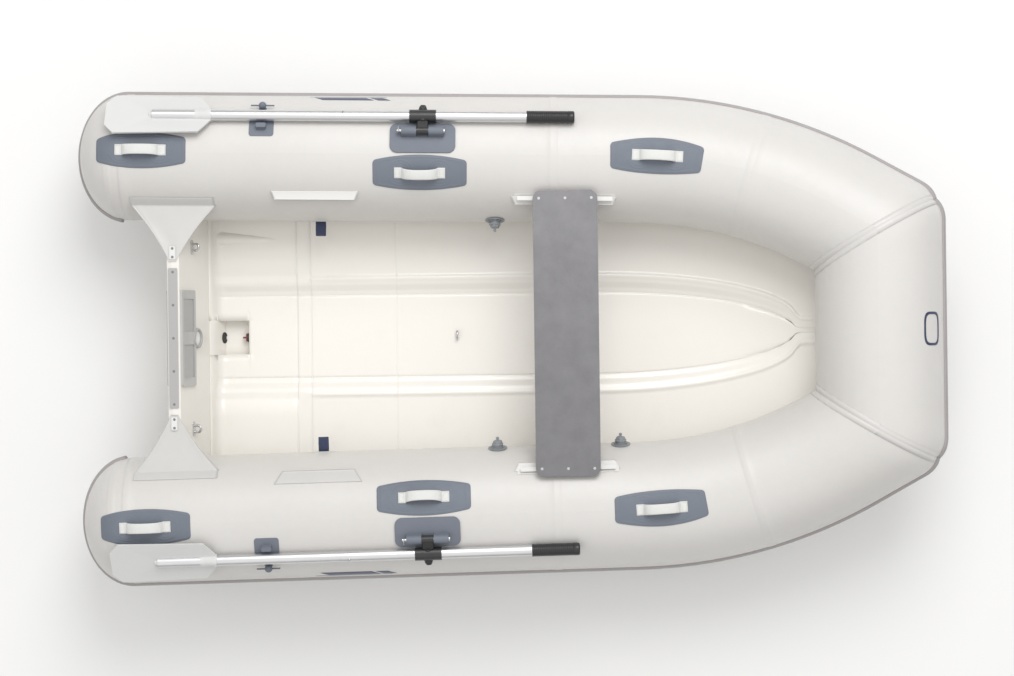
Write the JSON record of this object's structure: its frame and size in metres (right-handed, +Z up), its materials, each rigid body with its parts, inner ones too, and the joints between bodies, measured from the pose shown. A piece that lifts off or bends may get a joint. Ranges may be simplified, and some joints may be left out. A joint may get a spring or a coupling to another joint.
{
  "type": "inflatable dinghy",
  "caption": "Rigid-floor inflatable tender with side and bow tubes, moulded hull, motor transom, sliding thwart seat and oars on folding oarlocks.",
  "frame": {"origin": "middle of the boat in length and beam, on the plane that the keel pad stands on", "axes": "+X to the bow, +Y to port, +Z up"},
  "size_m": [2.8488, 1.641, 0.645],
  "materials": {
    "tube_fabric": "satin",
    "strake_rubber": "satin",
    "hull_gelcoat": "gloss",
    "floor_gelcoat": "gloss",
    "transom_board": "satin",
    "white_plastic": "satin",
    "aluminium": "satin",
    "track_plastic": "satin",
    "stainless": "polished",
    "grey_plastic": "satin",
    "black_plastic": "satin",
    "seal_rubber": "matte",
    "maroon_plastic": "satin",
    "patch_fabric": "satin",
    "white_webbing": "matte",
    "navy_webbing": "matte",
    "blade_plastic": "satin",
    "grey_rubber": "satin"
  },
  "bodies": {
    "boat": {"bow_eye": "stainless", "bow_strake": "strake_rubber", "bow_tube": "tube_fabric", "chamber_baffles": "tube_fabric", "drain_flange": "black_plastic", "drain_pipe": "white_plastic", "drain_seal": "seal_rubber", "end_cones": "tube_fabric", "flap_clamp_plates": "white_plastic", "floor_eye": "stainless", "floor_liner": "floor_gelcoat", "handle_patches": "patch_fabric", "handle_straps": "white_webbing", "hull_shell": "hull_gelcoat", "inner_motor_plate": "grey_plastic", "keeper_bases": "grey_rubber", "keeper_toggles": "grey_rubber", "loop_patches": "patch_fabric", "nose_tubes": "tube_fabric", "oarlock_bases": "grey_rubber", "outer_motor_plate": "grey_plastic", "pivot_pins": "stainless", "port_aft_tube": "tube_fabric", "port_quarter_tube": "tube_fabric", "seat_tracks": "track_plastic", "side_strakes": "strake_rubber", "spare_tracks": "track_plastic", "starboard_aft_tube": "tube_fabric", "starboard_quarter_tube": "tube_fabric", "stern_strakes": "strake_rubber", "transom_board": "transom_board", "transom_cap": "aluminium", "transom_eyes": "stainless", "transom_flaps": "tube_fabric", "transom_screws": "stainless", "valve_bodies": "grey_plastic", "web_loops": "navy_webbing"},
    "port_oar": {"port_oarlock_stem": "black_plastic", "port_oar_collar": "black_plastic", "port_oar_fore_shaft": "aluminium", "port_oar_aft_shaft": "aluminium", "port_oar_blade": "blade_plastic", "port_oar_grip": "black_plastic"},
    "port_knob": {"port_oar_knob": "black_plastic"},
    "port_button": {"port_snap_button": "stainless"},
    "port_cap": {"port_valve_cap": "grey_plastic"},
    "starboard_oar": {"starboard_oarlock_stem": "black_plastic", "starboard_oar_collar": "black_plastic", "starboard_oar_fore_shaft": "aluminium", "starboard_oar_aft_shaft": "aluminium", "starboard_oar_blade": "blade_plastic", "starboard_oar_grip": "black_plastic"},
    "starboard_knob": {"starboard_oar_knob": "black_plastic"},
    "starboard_button": {"starboard_snap_button": "stainless"},
    "starboard_cap": {"starboard_valve_cap": "grey_plastic"},
    "bow_cap": {"bow_valve_cap": "grey_plastic"},
    "seat": {"seat_plank": "aluminium", "seat_brackets": "aluminium", "seat_screws": "stainless"},
    "plug": {"drain_plug": "maroon_plastic"}
  },
  "joints": [
    {"name": "port_oarlock_tilt", "type": "hinge", "parent": "boat", "child": "port_oar", "pos_m": [-0.27377, 0.65755, 0.54704], "axis": [0.9998, -0.0192, 0], "range_deg": [0, 90]},
    {"name": "port_knob_turn", "type": "hinge", "parent": "port_oar", "child": "port_knob", "pos_m": [-0.27284, 0.70623, 0.52297], "axis": [0.0172, 0.8963, -0.443], "continuous": true},
    {"name": "port_button_press", "type": "slide", "parent": "port_oar", "child": "port_button", "axis": [-0.0102, -0.5298, -0.848], "range_m": [0, 0.003], "stiffness_N_per_m": 400, "springref_m": -0.002},
    {"name": "port_cap_turn", "type": "hinge", "parent": "boat", "child": "port_cap", "pos_m": [-0.04512, 0.37669, 0.37064], "axis": [-0.0188, -0.978, 0.2079], "range_deg": [0, 90]},
    {"name": "starboard_oarlock_tilt", "type": "hinge", "parent": "boat", "child": "starboard_oar", "pos_m": [-0.27377, -0.65755, 0.54704], "axis": [-0.9998, -0.0192, 0], "range_deg": [0, 90]},
    {"name": "starboard_knob_turn", "type": "hinge", "parent": "starboard_oar", "child": "starboard_knob", "pos_m": [-0.27284, -0.70623, 0.52297], "axis": [0.0172, -0.8963, -0.443], "continuous": true},
    {"name": "starboard_button_press", "type": "slide", "parent": "starboard_oar", "child": "starboard_button", "axis": [-0.0102, 0.5298, -0.848], "range_m": [0, 0.003], "stiffness_N_per_m": 400, "springref_m": -0.002},
    {"name": "starboard_cap_turn", "type": "hinge", "parent": "boat", "child": "starboard_cap", "pos_m": [-0.04512, -0.37669, 0.37064], "axis": [-0.0188, 0.978, 0.2079], "range_deg": [0, 90]},
    {"name": "bow_cap_turn", "type": "hinge", "parent": "boat", "child": "bow_cap", "pos_m": [0.3608, -0.36889, 0.37064], "axis": [-0.0188, 0.978, 0.2079], "range_deg": [0, 90]},
    {"name": "seat_slide", "type": "slide", "parent": "boat", "child": "seat", "axis": [1, 0, 0], "range_m": [-0.05, 0.05]},
    {"name": "plug_turn", "type": "hinge", "parent": "boat", "child": "plug", "pos_m": [-0.885, 0, 0.125], "axis": [-1, 0, 0], "range_deg": [0, 90]}
  ]
}
